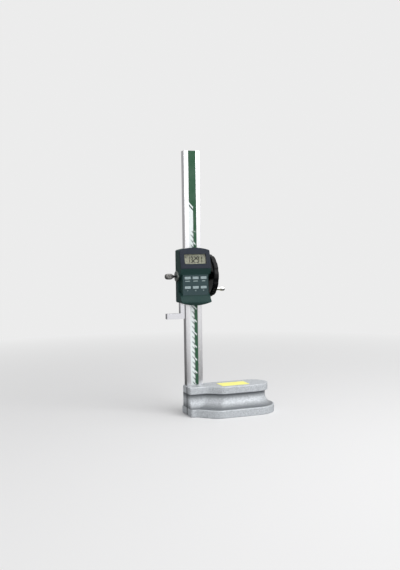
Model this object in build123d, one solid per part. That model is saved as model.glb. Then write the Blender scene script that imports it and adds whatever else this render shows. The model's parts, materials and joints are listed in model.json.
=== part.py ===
"""Digital height gauge with a rack-driven slider, built as separate pieces.

Frame: +Z up, +X from the column towards the tail of the base, -Y is the front.
The origin is the foot of the column's axis on the surface plate.
"""
from build123d import *
import math
import os

# ---------------------------------------------------------------- driving sizes (mm)
# base
BASE_HEIGHT = 57.0
FOOT_FLANGE = 15.0            # thickness of the bottom flange
TOP_FLANGE = 14.0             # thickness of the top flange
NOSE_X = -19.5                # flat end of the base, beside the column
FOOT_REAR, FOOT_NOSE, FOOT_FRONT = 23.5, -39.0, -70.0
TOP_REAR, TOP_NOSE, TOP_FRONT = 11.0, -32.0, -52.0
WAIST_INSET = 5.5             # the grip runs this far inside the top flange
FOOT_TAIL_X, TOP_TAIL_X = 113.0, 117.0
EDGE_ROUND = 1.6
COVE_START = 0.04             # small step where the grip leaves the foot
FOOT_FLARE_X = (-9.0, 24.0)   # where the foot's front edge leaves the nose and ends its flare
TOP_FLARE_X = (17.0, 43.0)
FOOT_ROUNDS, TOP_ROUNDS = (3, 4, 9, 24), (3, 4, 14, 18)
COVE_NECK = 7.0               # straight part of the grip under the top flange
COVE_SECTIONS = 8
RELIEF_MARGIN, RELIEF_DEPTH = 12.0, 3.0      # shallow recess under the foot
LABEL_LENGTH, LABEL_WIDTH, LABEL_THICK = 62.0, 32.0, 0.3
LABEL_X, LABEL_Y = 91.0, -24.0
LABEL_ROUND = 1.5
# column
COLUMN_WIDTH, COLUMN_DEPTH = 33.5, 14.9
COLUMN_TOP = 518.0
COLUMN_FOOT = 3.0
STRIP_WIDTH, STRIP_THICK = 15.5, 0.3
NIP_GAP = 0.9                 # gap that lets the clamp block grip the column
BLOCK_REAR = 17.0             # back of the clamp block's foot
BLOCK_COVE = 2.0
BLOCK_RIGHT = 38.0
CHEEK_FRONT, CHEEK_GAP = -12.8, 2.2   # thin wall beside the column, and the slit before it
BLOCK_SCREW = 5.0             # thread; its length is under the head
BLOCK_SCREW_LENGTH = 14.0
BLOCK_SCREW_FREE = 0.2        # clearance round a head and past a tip
DEEP_SEAT = 0.0               # where the outer pair of screws bears
BLOCK_SCREW_X = (-11.0, 11.0, 29.0)
BLOCK_SCREW_Z = (28.0, 46.0)
COLUMN_CHAMFER = 0.7
# rack and pinion
MODULE = 1.0
PINION_TEETH = 15
TOOTH_HEIGHT = 0.8            # addendum of both, in modules
TOOTH_DEPTH = 1.05            # dedendum of both, in modules
PRESSURE_ANGLE = math.radians(20)
BACKLASH = 0.35
RACK_WIDTH = 8.0
RACK_GROOVE = 4.0
RACK_LOW, RACK_HIGH = 110.0, 468.0
RACK_SUNK = 0.3               # tooth tips lie this far below the back of the column
# slider frame
RUN = 0.3                     # clearance between the slider and the column
FRAME_HALF = 25.0
FRAME_FRONT, FRAME_REAR = -12.0, 19.5
FRAME_LOW, FRAME_HIGH = 224.0, 322.0
FRAME_ROUND = 3.0
GIB_THICK = 1.5
GIB_CREEP = 0.05
SMALL_SCREW = 3.0             # threads of the frame's small screws
GIB_SCREW_Z = (240.0, 273.0, 306.0)
THROUGH_Z = (285.0, 285.0, 230.0)
THROUGH_TIP = -17.0
THROUGH_HEAD, THROUGH_HEAD_HIGH = 5.6, 1.7
SENSOR_WINDOW = 24.0
CELL, CELL_THICK, CELL_Z = 20.0, 3.2, 303.0
CAP = 23.0
CAP_SLOT = 1.8
# housing
HOUSING_HALF = 31.0
HOUSING_LOW, HOUSING_HIGH = 216.0, 329.0
HOUSING_SEAM = 10.0           # plane where the front housing meets the rear cover
KEYPAD_HALF = 27.0
KEYPAD_FACE = -19.0
KEYPAD_LOW, KEYPAD_HIGH = 235.5, 276.5
LIP_FACE = -26.0
BROW_FACE, BROW_LOW = -25.5, 288.5
TILT = 15.0                   # lean of the display, degrees
BOTTOM_BELLY, TOP_CROWN = 6.5, 5.0
WALL = 2.5
CORNER_ROUND = 3.0
SCOOP_Y, SCOOP_Z = -4.0, (232.0, 244.0, 270.0, 278.0)   # recess in each side by the keypad
COVER_ROUND, COVER_EDGE = 6.0, 1.2
BUMP_HALF, BUMP_WALL, BUMP_ROUND = 9.5, 3.0, 3.0
BEZEL_THICK = 3.0
PANEL_THICK = 2.0
WINDOW_THICK = 1.6
SCREEN_ROUND = 0.8
PANEL_MARGIN = 2.0            # the panel reaches this far past the window
SCREEN_WIDTH, SCREEN_HEIGHT, SCREEN_Z = 45.0, 19.6, 307.0
FIT = 0.3                     # clearance round a loose piece
AMPLE = 120.0                 # reach of a cutting block past the housing
# keys
KEY_WIDTH, KEY_HEIGHT, KEY_PROUD = 12.4, 5.2, 0.9
KEY_PITCH = 16.5
KEY_ROWS = (270.0, 251.4)
KEY_ROUND = 0.6
FILM_THICK = 0.5
FLANGE_REACH, FLANGE_THICK = 1.0, 0.8
# hand wheel
WHEEL_RADIUS = 42.2
WHEEL_Z = 273.0
WHEEL_FACE = 46.5             # outer face of the rim
WHEEL_CLEAR = 0.6
WEB, HUB_RADIUS = 3.6, 9.0
SCALLOP_RADIUS, SCALLOP_DEPTH = 11.0, 1.4
RIM_WIDTH, RIM_DEPTH = 10.0, 8.0
SCALLOPS = 12
SHAFT = 6.0
BUSH_OUTER, BUSH_LENGTH = 9.0, 8.0
BUSH_END = 17.0
SHAFT_PASSAGE = 2.5           # room round the shaft where it leaves the housing
WHEEL_SCREW, WHEEL_SCREW_HIGH = 9.2, 2.4
SHAFT_FIT = 0.05
CRANK_RADIUS, CRANK_ANGLE = 35.0, 228.0
CRANK_PIN, CRANK_KNOB, CRANK_LENGTH = 4.0, 9.4, 18.0
PIN_DEEP = 7.0                # how far the crank pin is pressed into the rim
PIN_HEAD, PIN_HEAD_HIGH = 6.4, 1.4
# clamp
CLAMP_Z = 273.0
CLAMP_KNOB, CLAMP_KNOB_LENGTH = 11.4, 15.8
CLAMP_KNOB_X = -56.4
CLAMP_STUD = 4.0
CLAMP_BOSS, CLAMP_BOSS_PROUD = 22.0, 3.0
PAD_WIDTH, PAD_THICK = 6.0, 2.6
KNURLS, KNURL_DEPTH = 24, 0.35
# measuring arm
ARM_WIDTH, ARM_DEPTH = 8.0, 11.0
ARM_RIGHT = -19.5
ARM_TIP = -55.5
ARM_BAR = 10.6
ARM_UNDER = 189.91
TONGUE_THICK, TONGUE_TOP = 4.0, 256.0
ARM_FIT = 0.1
ARM_SCREW_Z = (232.0, 248.0)
ARM_HEAD, ARM_HEAD_DEEP = 5.6, 2.4

# ---------------------------------------------------------------- worked-out places
HALF_W, HALF_D = COLUMN_WIDTH / 2, COLUMN_DEPTH / 2
PITCH_RADIUS = MODULE * PINION_TEETH / 2
RACK_TIP = HALF_D - RACK_SUNK
PINION_Y = RACK_TIP - TOOTH_HEIGHT * MODULE + PITCH_RADIUS
SLOT_FRONT, SLOT_REAR = -HALF_D - RUN, HALF_D + RUN
SLOT_LEFT, SLOT_RIGHT = -HALF_W - RUN, HALF_W + RUN + GIB_THICK
COVER_HALF = FRAME_HALF + FIT + WALL
COVER_REAR = FRAME_REAR + FIT + WALL
BOARD_FRONT = KEYPAD_FACE + WALL + FIT + FLANGE_THICK + 1.2
TILT_SLOPE = math.tan(math.radians(TILT))
PAD_BACK = SLOT_LEFT - PAD_THICK
ARM_FRONT = -HALF_D
ARM_MIDDLE = ARM_FRONT + ARM_DEPTH / 2
TONGUE_RIGHT = -FRAME_HALF + TONGUE_THICK
HEAD_SEAT = -FRAME_HALF + ARM_HEAD_DEEP
BLOCK_SCREWS = [(x, z) for x in BLOCK_SCREW_X for z in BLOCK_SCREW_Z]
THROUGH_X = (SLOT_RIGHT + FRAME_HALF) / 2     # middle of the frame's side wall
THROUGH_SCREWS = [(side * THROUGH_X, z) for side, z in zip((-1, 1, 1), THROUGH_Z)]
HUB_START = HOUSING_HALF + WHEEL_CLEAR
HUB_END = WHEEL_FACE - 1.5
FOOT_PLAN = (NOSE_X, FOOT_REAR, FOOT_NOSE, FOOT_FRONT, *FOOT_FLARE_X, FOOT_TAIL_X)
TOP_PLAN = (NOSE_X, TOP_REAR, TOP_NOSE, TOP_FRONT, *TOP_FLARE_X, TOP_TAIL_X)
WAIST_PLAN = (NOSE_X, TOP_REAR - WAIST_INSET, TOP_NOSE + WAIST_INSET, TOP_FRONT + WAIST_INSET,
              TOP_FLARE_X[0] - 2.0, TOP_FLARE_X[1] + 3.0, TOP_TAIL_X)
WAIST_ROUNDS = (3, 4, 16, 16)


def block(x0, x1, y0, y1, z0, z1):
    """A plain block between two corners."""
    size = Box(x1 - x0, y1 - y0, z1 - z0)
    return Pos((x0 + x1) / 2, (y0 + y1) / 2, (z0 + z1) / 2) * size


def rod(radius, start, end, axis="X", at=(0, 0)):
    """A cylinder along one axis; at gives its two other coordinates in order."""
    body = Cylinder(radius, end - start, align=(Align.CENTER, Align.CENTER, Align.MIN))
    if axis == "X":
        return Pos(start, at[0], at[1]) * Rot(0, 90, 0) * body
    if axis == "Y":
        return Pos(at[0], start, at[1]) * Rot(-90, 0, 0) * body
    return Pos(at[0], at[1], start) * body


# ---------------------------------------------------------------- base
def base_outline(z, nose_x, rear, nose, front, flare_start, flare_end, tail_x, rounds):
    """Plan of the base at one level: a narrow nose that flares forward, and a round tail."""
    path = FilletPolyline((tail_x, rear), (nose_x, rear), (nose_x, nose), (flare_start, nose),
                          (flare_end, front), (tail_x, front), radius=list(rounds))
    tail = ThreePointArc((tail_x, front), (tail_x + (rear - front) / 2, (rear + front) / 2),
                         (tail_x, rear))
    return Pos(0, 0, z) * make_face(path.edges() + tail.edges())


def blended_outline(z, share):
    """An outline between the foot (share 0) and the waist (share 1)."""
    plan = [a + (b - a) * share for a, b in zip(FOOT_PLAN, WAIST_PLAN)]
    rounds = [a + (b - a) * share for a, b in zip(FOOT_ROUNDS, WAIST_ROUNDS)]
    return base_outline(z, *plan, rounds)


def base_layers():
    """Outside of the base as a stack: foot, hollowed grip, neck and top flange."""
    under_top = BASE_HEIGHT - TOP_FLANGE
    cove_top = under_top - COVE_NECK
    foot = extrude(base_outline(0, *FOOT_PLAN, FOOT_ROUNDS), FOOT_FLANGE)
    top = extrude(base_outline(under_top, *TOP_PLAN, TOP_ROUNDS), TOP_FLANGE)
    sections = []
    for step in range(COVE_SECTIONS + 1):
        turn = math.radians(90) * step / COVE_SECTIONS
        level = FOOT_FLANGE + (cove_top - FOOT_FLANGE) * (1 - math.cos(turn))
        sections.append(blended_outline(level, COVE_START + (1 - COVE_START) * math.sin(turn)))
    return [fillet(foot.edges().filter_by(Plane.XY), EDGE_ROUND),
            loft(sections, ruled=True),
            extrude(blended_outline(cove_top, 1.0), COVE_NECK),
            fillet(top.edges().filter_by(Plane.XY), EDGE_ROUND)]


def base_casting():
    notch = block(NOSE_X - 1, BLOCK_RIGHT + FIT, -HALF_D, FOOT_REAR + 1, -1, BASE_HEIGHT + 1)
    notch += block(NOSE_X - 1, -HALF_W, CHEEK_FRONT - CHEEK_GAP, FOOT_REAR + 1, -1, BASE_HEIGHT + 1)
    foot, cove, neck, top = [layer - notch for layer in base_layers()]
    body = foot + cove + neck + top
    body += block(-HALF_W, HALF_W, -HALF_D, HALF_D, 0, COLUMN_FOOT)     # floor under the column
    width = FOOT_REAR - FOOT_FRONT - 2 * RELIEF_MARGIN
    left, right = BLOCK_RIGHT + RELIEF_MARGIN + width / 2, FOOT_TAIL_X
    relief = SlotCenterToCenter(right - left, width)
    body -= Pos((left + right) / 2, (FOOT_REAR + FOOT_FRONT) / 2, 0) * extrude(relief, RELIEF_DEPTH)
    for x, z in BLOCK_SCREWS[-2:]:
        body -= rod(BLOCK_SCREW / 2 + SHAFT_FIT, DEEP_SEAT - BLOCK_SCREW_LENGTH - 1, -HALF_D + 1,
                    "Y", (x, z))
    return body


def screw_seat(x):
    """Where a screw head bears: on the back of the block, or in a counterbore."""
    return DEEP_SEAT if x > HALF_W else TOP_REAR


def block_profile():
    """Side view of the clamp block: foot and tower, with a cove between them."""
    front = CHEEK_FRONT
    corners = [(front, 0), (BLOCK_REAR, 0), (BLOCK_REAR, FOOT_FLANGE), (TOP_REAR, FOOT_FLANGE),
               (TOP_REAR, BASE_HEIGHT), (front, BASE_HEIGHT)]
    face = make_face(Polyline(*corners, close=True))
    for corner, radius in zip(corners[1:5], (EDGE_ROUND, EDGE_ROUND, BLOCK_COVE, EDGE_ROUND)):
        face = fillet(face.vertices().sort_by_distance((*corner, 0))[0], radius)
    return face


def column_clamp_block():
    """Rear half of the nose, with a channel for the column and screws that pull it forward."""
    body = extrude(Plane.YZ.offset(NOSE_X) * block_profile(), BLOCK_RIGHT - NOSE_X)
    nose_edges = body.edges().filter_by(Axis.Z).group_by(Axis.X)[0]
    body = fillet([edge for row in nose_edges.group_by(Axis.Y)[1:] for edge in row], FOOT_ROUNDS[0])
    body -= block(-HALF_W, HALF_W, CHEEK_FRONT - 1, HALF_D, -1, BASE_HEIGHT + 1)
    body -= block(-HALF_W, BLOCK_RIGHT + 1, CHEEK_FRONT - 1, -HALF_D + NIP_GAP, -1, BASE_HEIGHT + 1)
    for x, z in BLOCK_SCREWS:
        body -= rod(BLOCK_SCREW / 2 + SHAFT_FIT, -HALF_D - 1, TOP_REAR + 1, "Y", (x, z))
        if screw_seat(x) < TOP_REAR:
            body -= rod(BLOCK_SCREW + BLOCK_SCREW_FREE, screw_seat(x), FOOT_REAR, "Y", (x, z))
    return body


def hex_socket(across, depth):
    """A key socket that opens upwards at the origin."""
    return Pos(0, 0, -depth) * extrude(RegularPolygon(across / 2, 6, major_radius=False), depth + 1)


def button_screw(x, seat, z):
    """Button-head screw along Y with its head on the +Y side of its seat."""
    head_high = BLOCK_SCREW * 0.54
    shank = Pos(0, 0, -BLOCK_SCREW_LENGTH) * Cylinder(
        BLOCK_SCREW / 2, BLOCK_SCREW_LENGTH, align=(Align.CENTER, Align.CENTER, Align.MIN))
    head = Cylinder(BLOCK_SCREW * 0.95, head_high, align=(Align.CENTER, Align.CENTER, Align.MIN))
    head = chamfer(head.edges().group_by(Axis.Z)[-1], head_high * 0.55)
    screw = shank + head - Pos(0, 0, head_high) * hex_socket(BLOCK_SCREW * 0.6, head_high * 0.6)
    return Pos(x, seat, z) * Rot(-90, 0, 0) * screw


def block_screws():
    return [button_screw(x, screw_seat(x), z) for x, z in BLOCK_SCREWS]


# ---------------------------------------------------------------- column, rack and scale
def column_beam():
    beam = block(-HALF_W, HALF_W, -HALF_D, HALF_D, COLUMN_FOOT, COLUMN_TOP)
    beam = chamfer(beam.edges().filter_by(Axis.Z), COLUMN_CHAMFER)
    beam -= block(-STRIP_WIDTH / 2, STRIP_WIDTH / 2, -HALF_D - 1, -HALF_D + STRIP_THICK,
                  BASE_HEIGHT + 1, COLUMN_TOP + 1)
    beam -= block(-RACK_WIDTH / 2, RACK_WIDTH / 2, HALF_D - RACK_GROOVE, HALF_D + 1,
                  RACK_LOW, COLUMN_TOP + 1)
    for x, z in BLOCK_SCREWS[:4]:
        beam -= rod(BLOCK_SCREW / 2 + SHAFT_FIT, TOP_REAR - BLOCK_SCREW_LENGTH - BLOCK_SCREW_FREE,
                    HALF_D + 1, "Y", (x, z))
    return beam


def tooth_half_width(depth):
    """Half thickness of a rack tooth at a depth below its pitch line."""
    return MODULE * math.pi / 4 - BACKLASH / 4 + depth * math.tan(PRESSURE_ANGLE)


def rack():
    pitch_line = RACK_TIP - TOOTH_HEIGHT * MODULE
    root = pitch_line - TOOTH_DEPTH * MODULE
    pitch = MODULE * math.pi
    tip_half = tooth_half_width(-TOOTH_HEIGHT * MODULE)
    root_half = tooth_half_width(TOOTH_DEPTH * MODULE)
    middle = WHEEL_Z + pitch / 2          # a gap faces the pinion's tooth at rest
    first = math.ceil((RACK_LOW - middle + root_half) / pitch)
    last = math.floor((RACK_HIGH - middle - root_half) / pitch)
    floor_y = HALF_D - RACK_GROOVE
    points = [(floor_y, RACK_LOW), (root, RACK_LOW)]
    for number in range(first, last + 1):
        z = middle + number * pitch
        points += [(root, z - root_half), (RACK_TIP, z - tip_half),
                   (RACK_TIP, z + tip_half), (root, z + root_half)]
    points += [(root, RACK_HIGH), (floor_y, RACK_HIGH)]
    side = make_face(Polyline(*[(-RACK_WIDTH / 2, y, z) for y, z in points], close=True))
    return extrude(side, RACK_WIDTH, dir=(1, 0, 0))


def scale_strip():
    return block(-STRIP_WIDTH / 2, STRIP_WIDTH / 2, -HALF_D, -HALF_D + STRIP_THICK,
                 BASE_HEIGHT + 1, COLUMN_TOP)


def base_label():
    """Plain blank label on top of the base."""
    outline = RectangleRounded(LABEL_LENGTH, LABEL_WIDTH, LABEL_ROUND)
    return Pos(LABEL_X, LABEL_Y, BASE_HEIGHT) * extrude(outline, LABEL_THICK)


# ---------------------------------------------------------------- slider frame
def slider_frame():
    body = block(-FRAME_HALF, FRAME_HALF, FRAME_FRONT, FRAME_REAR, FRAME_LOW, FRAME_HIGH)
    body = fillet(body.edges().filter_by(Axis.Z).group_by(Axis.Y)[-1], FRAME_ROUND)
    low, high = FRAME_LOW - 1, FRAME_HIGH + 1
    body -= block(SLOT_LEFT, SLOT_RIGHT, SLOT_FRONT, SLOT_REAR, low, high)
    body -= block(-SENSOR_WINDOW / 2, SENSOR_WINDOW / 2, FRAME_FRONT - 1, 0, low, high)
    # window for the pinion, and the cross bore that carries its bushes
    reach = PITCH_RADIUS + 3 * MODULE
    side = RACK_WIDTH / 2 + 1.5
    body -= block(-side, side, 0, FRAME_REAR + 1, WHEEL_Z - reach, WHEEL_Z + reach)
    body -= rod(BUSH_OUTER / 2, -BUSH_END, FRAME_HALF + 1, "X", (PINION_Y, WHEEL_Z))
    # clamp: threaded hole and pad pocket
    body -= rod(CLAMP_STUD / 2 + SHAFT_FIT, -FRAME_HALF - 1, 0, "X", (0, CLAMP_Z))
    body -= rod(PAD_WIDTH / 2 + SHAFT_FIT, PAD_BACK - 0.1, 0, "X", (0, CLAMP_Z))
    # seat for the arm's tongue
    body -= block(-FRAME_HALF - 1, TONGUE_RIGHT, ARM_FRONT, ARM_FRONT + ARM_DEPTH, low, TONGUE_TOP)
    hole = SMALL_SCREW / 2 + SHAFT_FIT
    for z in ARM_SCREW_Z:
        body -= rod(hole, TONGUE_RIGHT - 1, SLOT_LEFT + 1, "X", (ARM_MIDDLE, z))
    for z in GIB_SCREW_Z:
        body -= rod(hole, SLOT_RIGHT - 1, FRAME_HALF + 1, "X", (0, z))
    for x, z in THROUGH_SCREWS:
        body -= rod(hole, FRAME_FRONT - 1, FRAME_REAR + 1, "Y", (x, z))
    body -= rod(CELL / 2 + FIT, FRAME_REAR - CELL_THICK - FIT, FRAME_REAR + 1, "Y", (0, CELL_Z))
    return body


def gib_strip():
    return block(SLOT_RIGHT - GIB_THICK, SLOT_RIGHT - GIB_CREEP, SLOT_FRONT + FIT, SLOT_REAR - FIT,
                 FRAME_LOW + 1, FRAME_HIGH - 1)


def grub_screws():
    """Socket grub screws that bear on the gib."""
    screws = []
    for z in GIB_SCREW_Z:
        end = FRAME_HALF - 0.5
        body = rod(SMALL_SCREW / 2, SLOT_RIGHT - GIB_CREEP, end, "X", (0, z))
        screws.append(body - Pos(end, 0, z) * Rot(0, 90, 0) * hex_socket(SMALL_SCREW / 2, 1.5))
    return screws


def shaft_bushes():
    bushes = []
    for start in (-BUSH_END, FRAME_HALF - 0.5 - BUSH_LENGTH):
        at = (PINION_Y, WHEEL_Z)
        sleeve = rod(BUSH_OUTER / 2, start, start + BUSH_LENGTH, "X", at)
        bushes.append(sleeve - rod(SHAFT / 2 + SHAFT_FIT, start - 1, start + BUSH_LENGTH + 1, "X", at))
    return bushes


# ---------------------------------------------------------------- housing
def front_view(half, low, high):
    """The housing seen from the front: straight sides, a crowned top and a bellied bottom."""
    lines = (Line((-half, high - TOP_CROWN), (-half, low + BOTTOM_BELLY))
             + ThreePointArc((-half, low + BOTTOM_BELLY), (0, low), (half, low + BOTTOM_BELLY))
             + Line((half, low + BOTTOM_BELLY), (half, high - TOP_CROWN))
             + ThreePointArc((half, high - TOP_CROWN), (0, high), (-half, high - TOP_CROWN)))
    face = make_face(lines.edges())
    face = fillet(face.vertices(), CORNER_ROUND)
    return Plane.XZ * face


def side_view():
    """The housing seen from the side: lip, keypad, undercut brow and leaning display."""
    top_y = BROW_FACE + (HOUSING_HIGH - BROW_LOW) * TILT_SLOPE
    points = [(HOUSING_SEAM, HOUSING_LOW), (LIP_FACE + 5.0, HOUSING_LOW),
              (LIP_FACE, HOUSING_LOW + 5.5), (LIP_FACE, HOUSING_LOW + 7.5),
              (KEYPAD_FACE - 2.0, KEYPAD_LOW - 7.0), (KEYPAD_FACE, KEYPAD_LOW),
              (KEYPAD_FACE, KEYPAD_HIGH), (BROW_FACE, BROW_LOW),
              (top_y, HOUSING_HIGH), (HOUSING_SEAM, HOUSING_HIGH)]
    return Plane.YZ * make_face(Polyline(*points, close=True))


def display_plane(inset):
    """Plane of the leaning display face, moved inwards by inset; its Z points out."""
    lean = math.radians(TILT)
    out = Vector(0, -math.cos(lean), math.sin(lean))
    middle_y = BROW_FACE + (SCREEN_Z - BROW_LOW) * TILT_SLOPE
    return Plane(origin=Vector(0, middle_y, SCREEN_Z) - out * inset, x_dir=(1, 0, 0), z_dir=out)


def housing_blank():
    """Outside of the front housing and the bezel together."""
    depth = HOUSING_SEAM - LIP_FACE + 2
    front = Pos(0, HOUSING_SEAM, 0) * extrude(front_view(HOUSING_HALF, HOUSING_LOW, HOUSING_HIGH), depth)
    side = extrude(side_view(), HOUSING_HALF + 1, both=True)
    blank = front & side
    # scooped sides beside the keypad
    low, low_deep, high_deep, high = SCOOP_Z
    scoop = Plane.YZ * make_face(Polyline((SCOOP_Y, low_deep), (SCOOP_Y, high_deep),
                                          (KEYPAD_FACE - 1, high), (LIP_FACE - 3, high),
                                          (LIP_FACE - 3, low), (KEYPAD_FACE - 3, low), close=True))
    for side_x in (-1, 1):
        cut = extrude(scoop, HOUSING_HALF - KEYPAD_HALF + 1, dir=(side_x, 0, 0))
        blank -= Pos(side_x * KEYPAD_HALF, 0, 0) * cut
    return blank


def bezel_zone():
    """Slab in front of the seam between bezel and housing."""
    slab = extrude(display_plane(BEZEL_THICK) * Rectangle(AMPLE, AMPLE), AMPLE / 2)
    return slab & block(-AMPLE, AMPLE, -AMPLE, AMPLE, BROW_LOW - 0.5, HOUSING_HIGH + AMPLE)


def front_housing(blank):
    body = blank - bezel_zone()
    body -= block(-FRAME_HALF - FIT, FRAME_HALF + FIT, FRAME_FRONT - FIT, HOUSING_SEAM + 1,
                  FRAME_LOW - FIT, FRAME_HIGH + FIT)
    body -= block(SLOT_LEFT - FIT, -SLOT_LEFT + FIT, SLOT_FRONT - FIT, HOUSING_SEAM + 1,
                  HOUSING_LOW - 1, HOUSING_HIGH + 1)
    # board pocket behind the keypad
    body -= block(-KEYPAD_HALF + WALL, KEYPAD_HALF - WALL, KEYPAD_FACE + WALL, FRAME_FRONT,
                  KEYPAD_LOW, KEYPAD_HIGH - 1)
    for x, z in key_places():
        body -= block(x - KEY_WIDTH / 2 - FIT, x + KEY_WIDTH / 2 + FIT, KEYPAD_FACE - 1,
                      KEYPAD_FACE + WALL + 1, z - KEY_HEIGHT / 2 - FIT, z + KEY_HEIGHT / 2 + FIT)
    # pocket for the liquid crystal panel
    reach = 2 * PANEL_MARGIN + 0.4
    pocket = Rectangle(SCREEN_WIDTH + reach, SCREEN_HEIGHT + reach)
    body -= extrude(display_plane(BEZEL_THICK) * pocket, -PANEL_THICK)
    # slot for the arm, hole for the clamp stud, holes for the long screws
    body -= block(ARM_RIGHT - ARM_WIDTH - ARM_FIT, ARM_RIGHT + 5, ARM_FRONT - ARM_FIT,
                  HOUSING_SEAM + 1, HOUSING_LOW - 1, FRAME_LOW)
    body -= rod(CLAMP_STUD / 2 + FIT, -HOUSING_HALF - 1, 0, "X", (0, CLAMP_Z))
    body -= rod(SHAFT / 2 + SHAFT_PASSAGE, FRAME_HALF, HOUSING_HALF + 1, "X", (PINION_Y, WHEEL_Z))
    for x, z in THROUGH_SCREWS:
        body -= rod(SMALL_SCREW / 2 + SHAFT_FIT, THROUGH_TIP - 0.1, FRAME_FRONT, "Y", (x, z))
    return body


def display_bezel(blank):
    body = blank & bezel_zone()
    window = RectangleRounded(SCREEN_WIDTH, SCREEN_HEIGHT, SCREEN_ROUND)
    return body - extrude(display_plane(BEZEL_THICK + 1) * window, BEZEL_THICK + 5)


def display_window():
    pane = RectangleRounded(SCREEN_WIDTH - 0.1, SCREEN_HEIGHT - 0.1, SCREEN_ROUND)
    return extrude(display_plane(BEZEL_THICK) * pane, WINDOW_THICK)


def lcd_panel():
    panel = Rectangle(SCREEN_WIDTH + 2 * PANEL_MARGIN, SCREEN_HEIGHT + 2 * PANEL_MARGIN)
    return extrude(display_plane(BEZEL_THICK) * panel, -PANEL_THICK)


def key_places():
    return [(column * KEY_PITCH, z) for z in KEY_ROWS for column in (-1, 0, 1)]


def keypad_panel():
    """Printed overlay round the keys."""
    outline = Rectangle(2 * KEYPAD_HALF - 2.0, KEYPAD_HIGH - KEYPAD_LOW - 1.5)
    sheet = fillet(outline.vertices(), 1.0)
    for x, z in key_places():
        sheet -= Pos(x, z - (KEYPAD_LOW + KEYPAD_HIGH) / 2) * Rectangle(KEY_WIDTH + 2 * FIT,
                                                                        KEY_HEIGHT + 2 * FIT)
    at = Plane(origin=(0, KEYPAD_FACE, (KEYPAD_LOW + KEYPAD_HIGH) / 2), x_dir=(1, 0, 0),
               z_dir=(0, -1, 0))
    return extrude(at * sheet, FILM_THICK)


def key(x, z):
    """One key: a cap that stands proud and a flange that holds it behind the wall."""
    front = KEYPAD_FACE - FILM_THICK - KEY_PROUD
    back = KEYPAD_FACE + WALL + FIT
    half_x, half_z = KEY_WIDTH / 2, KEY_HEIGHT / 2
    cap = block(x - half_x, x + half_x, front, back + 0.1, z - half_z, z + half_z)
    cap = fillet(cap.edges().group_by(Axis.Y)[0], KEY_ROUND)
    wide_x, wide_z = half_x + FLANGE_REACH, half_z + FLANGE_REACH
    return cap + block(x - wide_x, x + wide_x, back, back + FLANGE_THICK, z - wide_z, z + wide_z)


def circuit_board():
    return block(-KEYPAD_HALF + WALL + FIT, KEYPAD_HALF - WALL - FIT, BOARD_FRONT, FRAME_FRONT - FIT,
                 KEYPAD_LOW + 1, KEYPAD_HIGH - 2)


def sensor_board():
    """Reading head: faces the scale strip through the window of the frame."""
    return block(-SENSOR_WINDOW / 2 + FIT, SENSOR_WINDOW / 2 - FIT, FRAME_FRONT - FIT,
                 SLOT_FRONT - 0.2, KEYPAD_LOW + 1, KEYPAD_HIGH + 20)


def rear_cover():
    body = block(-COVER_HALF, COVER_HALF, HOUSING_SEAM, COVER_REAR, FRAME_LOW - FIT - WALL,
                 FRAME_HIGH + FIT + WALL)
    body = fillet(body.edges().filter_by(Axis.Z).group_by(Axis.Y)[-1], COVER_ROUND)
    body = chamfer(body.edges().group_by(Axis.Y)[-1], COVER_EDGE)
    reach = PITCH_RADIUS + 2 * MODULE
    bump_half = reach + WALL + 2
    bump = block(-BUMP_HALF, BUMP_HALF, FRAME_REAR, PINION_Y + reach + WALL,
                 WHEEL_Z - bump_half, WHEEL_Z + bump_half)
    body += fillet(bump.edges().group_by(Axis.Y)[-1], BUMP_ROUND)
    inner = block(-FRAME_HALF - FIT, FRAME_HALF + FIT, HOUSING_SEAM - 1, FRAME_REAR + FIT,
                  FRAME_LOW - FIT, FRAME_HIGH + FIT)
    body -= fillet(inner.edges().filter_by(Axis.Z).group_by(Axis.Y)[-1], FRAME_ROUND - 0.5)
    hollow = BUMP_HALF - BUMP_WALL
    body -= block(-hollow, hollow, FRAME_REAR, PINION_Y + reach, WHEEL_Z - reach, WHEEL_Z + reach)
    body -= rod(SHAFT / 2 + SHAFT_PASSAGE, FRAME_HALF, COVER_HALF + 1, "X", (PINION_Y, WHEEL_Z))
    body -= rod(CAP / 2 + 0.1, FRAME_REAR, COVER_REAR + 1, "Y", (0, CELL_Z))
    for x, z in THROUGH_SCREWS:
        body -= rod(SMALL_SCREW / 2 + SHAFT_FIT, FRAME_REAR - 1, COVER_REAR + 1, "Y", (x, z))
    return body


def battery_cap():
    """Round coin-slotted cap over the cell."""
    cap = rod(CAP / 2, FRAME_REAR + 0.1, COVER_REAR + 0.6, "Y", (0, CELL_Z))
    cap = chamfer(cap.edges().group_by(Axis.Y)[-1], 0.4)
    return cap - block(-CAP / 2 + 3, CAP / 2 - 3, COVER_REAR - 0.6, COVER_REAR + 2,
                       CELL_Z - CAP_SLOT / 2, CELL_Z + CAP_SLOT / 2)


def battery():
    return rod(CELL / 2, FRAME_REAR - CELL_THICK, FRAME_REAR, "Y", (0, CELL_Z))


def through_screws():
    """Long screws that hold rear cover, frame and front housing together."""
    screws = []
    for x, z in THROUGH_SCREWS:
        top = COVER_REAR + THROUGH_HEAD_HIGH
        head = rod(THROUGH_HEAD / 2, COVER_REAR, top, "Y", (x, z))
        head = chamfer(head.edges().group_by(Axis.Y)[-1], THROUGH_HEAD_HIGH / 2)
        head -= Pos(x, top, z) * Rot(-90, 0, 0) * hex_socket(THROUGH_HEAD * 0.4, 1.0)
        screws.append(head + rod(SMALL_SCREW / 2, THROUGH_TIP, COVER_REAR, "Y", (x, z)))
    return screws


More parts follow.
